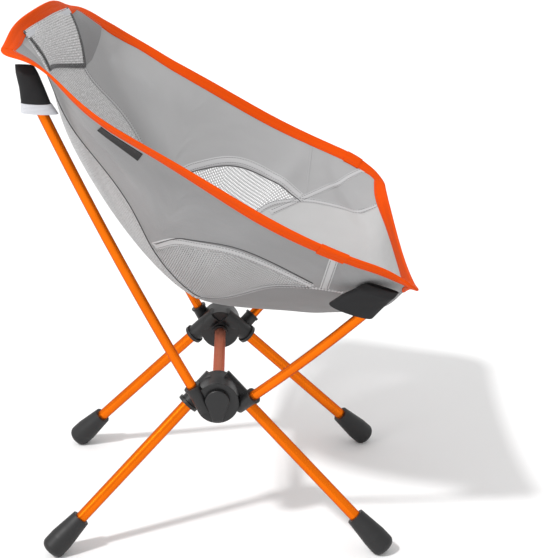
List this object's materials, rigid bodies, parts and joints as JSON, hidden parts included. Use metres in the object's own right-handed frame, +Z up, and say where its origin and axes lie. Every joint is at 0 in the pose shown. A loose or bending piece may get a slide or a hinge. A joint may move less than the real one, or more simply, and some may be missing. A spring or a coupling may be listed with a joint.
{
  "type": "backpacking chair",
  "caption": "Low folding camp chair: shock-corded poles plug into moulded hubs and tension a slung bucket seat of fabric and mesh with orange binding.",
  "frame": {"origin": "on the floor under the middle of the chair's bounding box", "axes": "+Z up, the chair faces -Y, -X is the sitter's right"},
  "size_m": [0.5392, 0.4963, 0.6903],
  "materials": {
    "pole_orange": "bright orange anodised aluminium tube",
    "crossbar_red": "dull red anodised aluminium tube",
    "ferrule_metal": "bare aluminium insert tube",
    "hub_plastic": "black glass-filled nylon moulding",
    "boot_rubber": "black moulded rubber",
    "cord_black": "braided elastic shock cord",
    "pocket_fabric": "black coated nylon reinforcement",
    "hem_white": "white woven tape",
    "seat_fabric": "grey plain-weave polyester",
    "mesh_fabric": "light grey open mesh",
    "binding_orange": "orange woven edge binding with stitch lines",
    "tape_grey": "grey seam tape with double stitching"
  },
  "bodies": {
    "chair": {"crossbar": "crossbar_red", "crossbar_cord": "cord_black", "hub_right": "hub_plastic", "hub_cap_right": "hub_plastic", "rear_pole_lower_right": "pole_orange", "rear_pole_upper_right": "pole_orange", "ferrule_right": "ferrule_metal", "rear_cord_right": "cord_black", "rear_tip_right": "hub_plastic", "front_pole_right": "pole_orange", "front_cord_right": "cord_black", "front_tip_right": "hub_plastic", "pocket_rear_right": "pocket_fabric", "pocket_hem_right": "hem_white", "pocket_front_right": "pocket_fabric", "leg_cord_rear_right": "cord_black", "leg_cord_front_right": "cord_black", "side_panel_right": "seat_fabric", "half_moon_mesh_right": "mesh_fabric", "binding_right": "binding_orange", "piping_right": "tape_grey", "half_moon_tape_right": "tape_grey", "front_seam_tape_right": "tape_grey", "hub_left": "hub_plastic", "hub_cap_left": "hub_plastic", "rear_pole_lower_left": "pole_orange", "rear_pole_upper_left": "pole_orange", "ferrule_left": "ferrule_metal", "rear_cord_left": "cord_black", "rear_tip_left": "hub_plastic", "front_pole_left": "pole_orange", "front_cord_left": "cord_black", "front_tip_left": "hub_plastic", "pocket_rear_left": "pocket_fabric", "pocket_hem_left": "hem_white", "pocket_front_left": "pocket_fabric", "leg_cord_rear_left": "cord_black", "leg_cord_front_left": "cord_black", "side_panel_left": "seat_fabric", "half_moon_mesh_left": "mesh_fabric", "binding_left": "binding_orange", "piping_left": "tape_grey", "half_moon_tape_left": "tape_grey", "front_seam_tape_left": "tape_grey", "back_mesh_panel": "mesh_fabric", "head_mesh_panel": "mesh_fabric", "seat_panel": "seat_fabric", "binding_top": "binding_orange", "binding_front": "binding_orange", "side_label": "pocket_fabric"},
    "leg_rear_right": {"leg_rear_right": "pole_orange", "boot_rear_right": "boot_rubber"},
    "leg_front_right": {"leg_front_right": "pole_orange", "boot_front_right": "boot_rubber"},
    "leg_rear_left": {"leg_rear_left": "pole_orange", "boot_rear_left": "boot_rubber"},
    "leg_front_left": {"leg_front_left": "pole_orange", "boot_front_left": "boot_rubber"}
  },
  "joints": [
    {"name": "leg_rear_right_pull", "type": "slide", "parent": "chair", "child": "leg_rear_right", "axis": [-0.185, 0.683, -0.7066], "range_m": [0, 0.05], "stiffness_N_per_m": 150, "springref_m": -0.06, "deforming": ["leg_cord_rear_right"]},
    {"name": "leg_front_right_pull", "type": "slide", "parent": "chair", "child": "leg_front_right", "axis": [-0.185, -0.683, -0.7066], "range_m": [0, 0.05], "stiffness_N_per_m": 150, "springref_m": -0.06, "deforming": ["leg_cord_front_right"]},
    {"name": "leg_rear_left_pull", "type": "slide", "parent": "chair", "child": "leg_rear_left", "axis": [0.185, 0.683, -0.7066], "range_m": [0, 0.05], "stiffness_N_per_m": 150, "springref_m": -0.06, "deforming": ["leg_cord_rear_left"]},
    {"name": "leg_front_left_pull", "type": "slide", "parent": "chair", "child": "leg_front_left", "axis": [0.185, -0.683, -0.7066], "range_m": [0, 0.05], "stiffness_N_per_m": 150, "springref_m": -0.06, "deforming": ["leg_cord_front_left"]}
  ]
}
